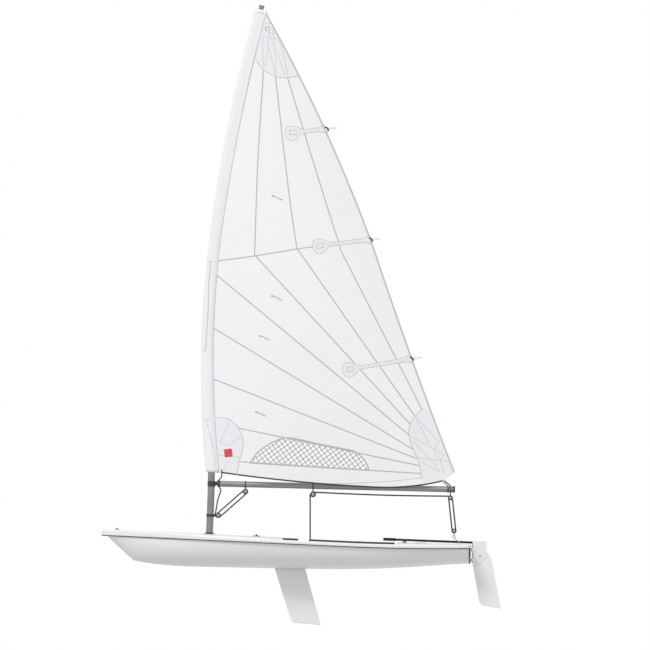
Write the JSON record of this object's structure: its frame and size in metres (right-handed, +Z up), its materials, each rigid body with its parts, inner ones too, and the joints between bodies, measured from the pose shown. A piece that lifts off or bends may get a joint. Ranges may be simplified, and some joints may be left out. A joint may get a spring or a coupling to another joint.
{
  "type": "single-handed sailing dinghy",
  "caption": "Una-rigged sailing dinghy afloat: decked hull with a foot well, bending mast in a sleeved sail, boom, lifting daggerboard and rudder.",
  "frame": {"origin": "amidships on the centreline at the waterline", "axes": "+X aft, +Y starboard, +Z up"},
  "size_m": [4.5539, 1.38, 7.0727],
  "materials": {
    "hull_grey": "pale grey gelcoat on glass fibre, polished",
    "deck_white": "white gelcoat with a fine non-slip pattern on the decks",
    "sail_cloth": "white woven polyester sailcloth",
    "batten": "white glass-fibre battens in cloth pockets",
    "spar": "grey anodised aluminium tube",
    "foil_white": "white gelcoat foils",
    "black_nylon": "black moulded nylon",
    "steel": "stainless steel, brushed",
    "black_webbing": "black woven polyester webbing",
    "black_rope": "black braided polyester rope",
    "grip_rubber": "black rubber grip",
    "black_anodised": "black anodised aluminium"
  },
  "bodies": {
    "hull": {"hull_shell": "hull_grey", "deck": "deck_white", "cockpit_tub": "deck_white", "mast_step_tube": "deck_white", "mast_deck_collar": "black_nylon", "upper_gudgeon": "steel", "lower_gudgeon": "steel", "bow_eye": "black_nylon", "control_cleats": "black_nylon", "sheet_cleats": "black_nylon", "grab_rails": "black_nylon", "fairleads": "steel", "traveller": "black_rope", "traveller_cleat": "black_nylon", "cockpit_block": "black_nylon", "hiking_strap": "black_webbing", "strap_posts": "steel", "bailer": "steel", "inspection_port": "deck_white", "drain_plug": "black_nylon"},
    "rig": {"lower_mast": "spar", "upper_mast": "spar", "mast_joint_ring": "black_nylon", "mast_head_cap": "black_nylon", "boom": "spar", "boom_front_fitting": "black_nylon", "boom_end_cap": "black_nylon", "gooseneck": "black_nylon", "boom_middle_block": "black_nylon", "boom_end_block": "black_nylon", "vang_boom_block": "black_nylon", "vang_mast_block": "black_nylon", "outhaul_strap": "black_webbing", "sail": "sail_cloth", "batten_top": "batten", "batten_middle": "batten", "batten_lower": "batten"},
    "rudder": {"rudder_head": "foil_white", "rudder_pintles": "steel", "tiller": "black_anodised", "tiller_grip": "grip_rubber", "blade_pivot_bolt": "steel"},
    "rudder_blade": {"rudder_blade": "foil_white"},
    "daggerboard": {"daggerboard": "foil_white", "daggerboard_stop": "black_nylon"}
  },
  "joints": [
    {"name": "rig_swing", "type": "hinge", "parent": "hull", "child": "rig", "pos_m": [-0.87192, 0, 0.313], "axis": [0.0396, 0, 0.9992], "range_deg": [-90, 90]},
    {"name": "rudder_steer", "type": "hinge", "parent": "hull", "child": "rudder", "pos_m": [2.1138, 0, 0.05], "axis": [0, 0, 1], "range_deg": [-45, 45]},
    {"name": "blade_lift", "type": "hinge", "parent": "rudder", "child": "rudder_blade", "pos_m": [2.2118, 0, 0.04], "axis": [0, -1, 0], "range_deg": [0, 90]},
    {"name": "board_lift", "type": "slide", "parent": "hull", "child": "daggerboard", "axis": [-0.284, 0, 0.9588], "range_m": [0, 0.45]}
  ]
}
